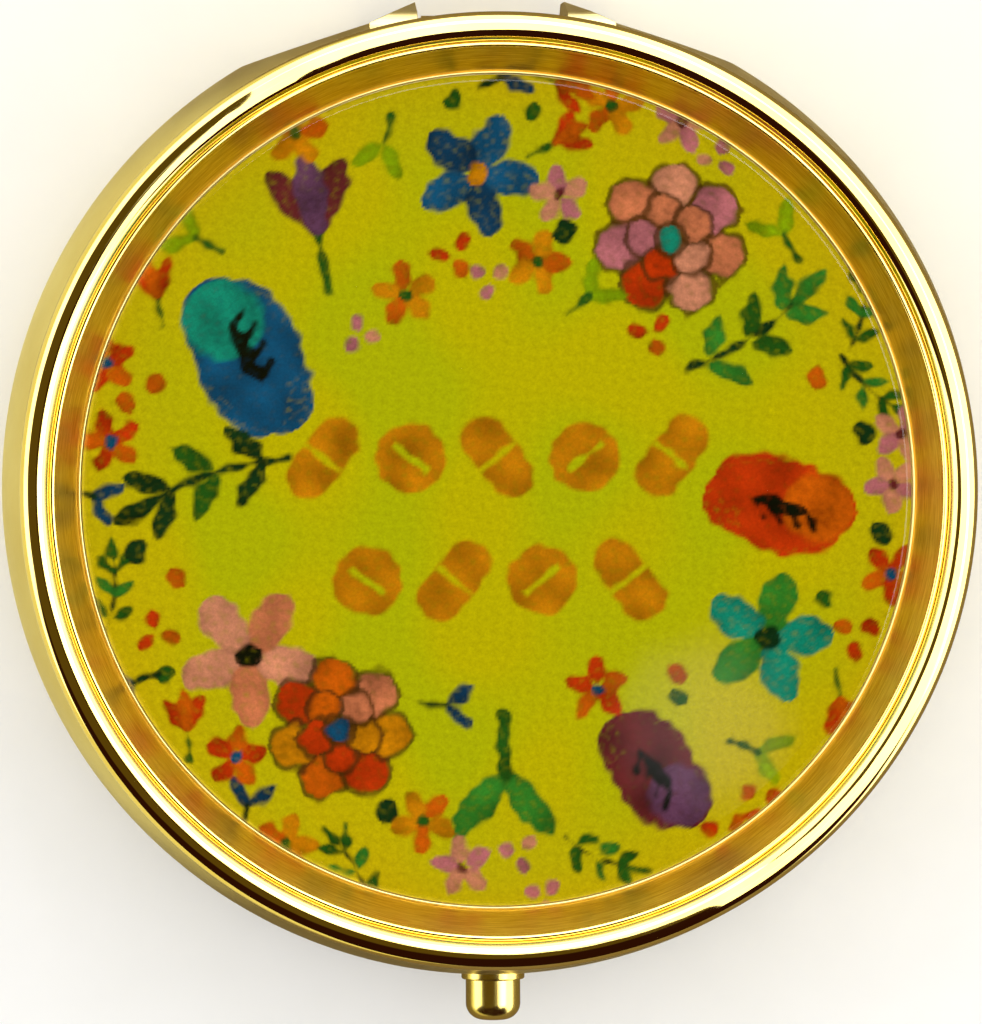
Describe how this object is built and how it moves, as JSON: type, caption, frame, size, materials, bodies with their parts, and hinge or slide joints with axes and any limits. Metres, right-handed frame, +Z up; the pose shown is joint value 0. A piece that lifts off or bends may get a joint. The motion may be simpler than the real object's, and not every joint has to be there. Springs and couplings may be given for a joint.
{
  "type": "pill box",
  "caption": "Round metal pill box with a hinged lid, a domed picture in the lid, a push-button catch and a compartment tray.",
  "frame": {"origin": "centre of the base's flat underside", "axes": "+Z up through the lid, -Y towards the push button, +Y towards the hinge, +X to the right seen from above with the button near"},
  "size_m": [0.05, 0.0521, 0.0146],
  "materials": {
    "polished_gold": "mirror-polished gold-tone plating",
    "button_gold": "turned and polished gold-tone plating",
    "satin_gold": "dull champagne-gold plating",
    "ring_gold": "stamped, bright gold-tone plating",
    "steel": "plain nickel-plated steel",
    "tray_plastic": "moulded, glossy off-white",
    "printed_card": "printed coated card",
    "clear_resin": "clear cast dome, glossy"
  },
  "bodies": {
    "case": {"base_shell": "satin_gold", "inner_ring": "ring_gold", "pill_tray": "tray_plastic", "hinge_bracket": "satin_gold", "hinge_pin": "steel", "latch_guide": "ring_gold", "button_bushing": "button_gold"},
    "lid": {"lid_shell": "polished_gold", "lid_liner": "ring_gold", "picture_disc": "printed_card", "clear_dome": "clear_resin", "hinge_leaf": "ring_gold", "latch_hook": "steel", "lid_rivets": "ring_gold"},
    "button": {"push_button": "button_gold", "catch_slide": "steel", "button_spring": "steel"}
  },
  "joints": [
    {"name": "lid_hinge", "type": "hinge", "parent": "case", "child": "lid", "pos_m": [0, 0.02335, 0.0082], "axis": [-1, 0, 0], "range_deg": [0, 105]},
    {"name": "button_press", "type": "slide", "parent": "case", "child": "button", "axis": [0, 1, 0], "range_m": [0, 0.0008], "stiffness_N_per_m": 2000, "springref_m": -0.001, "deforming": ["button_spring"]}
  ]
}
